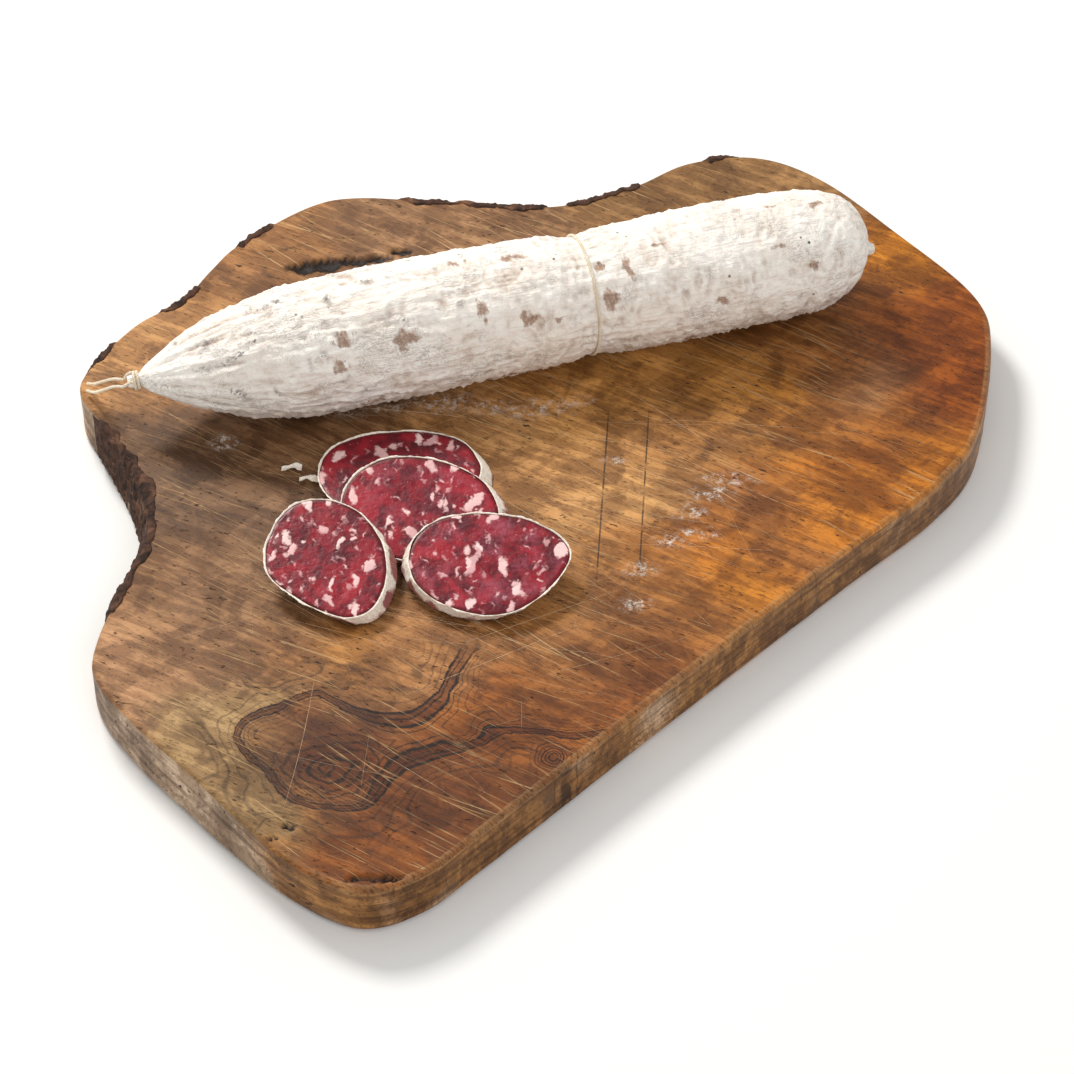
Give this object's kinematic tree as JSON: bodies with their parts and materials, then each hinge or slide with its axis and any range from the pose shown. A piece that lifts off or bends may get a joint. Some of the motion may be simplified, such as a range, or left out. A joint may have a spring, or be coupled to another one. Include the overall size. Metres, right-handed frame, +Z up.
{
  "type": "salami on board",
  "caption": "Dry salami with a mould-covered casing, tied with twine, lying with cut slices on an irregular live-edge wooden board.",
  "frame": {"origin": "under the middle of the board's extents, on the surface that the board stands on", "axes": "+Z up from the board's flat underside, +Y along the board's longest extent, towards its rounded far lobe, +X along its width, towards the salami's blunt end"},
  "size_m": [0.3786, 0.4166, 0.079],
  "materials": {
    "wood": "worn",
    "casing": "matte",
    "rind": "matte",
    "meat": "satin",
    "twine": "matte"
  },
  "bodies": {
    "root": {"board": "wood", "salami": "casing", "girth_twine": "twine", "neck_twine": "twine", "twine_tail_1": "twine", "twine_tail_2": "twine", "slice_back_meat": "meat", "slice_back_rind": "rind", "slice_middle_meat": "meat", "slice_middle_rind": "rind", "slice_left_meat": "meat", "slice_left_rind": "rind", "slice_right_meat": "meat", "slice_right_rind": "rind", "casing_shred_1": "rind", "casing_shred_2": "rind"}
  },
  "joints": []
}
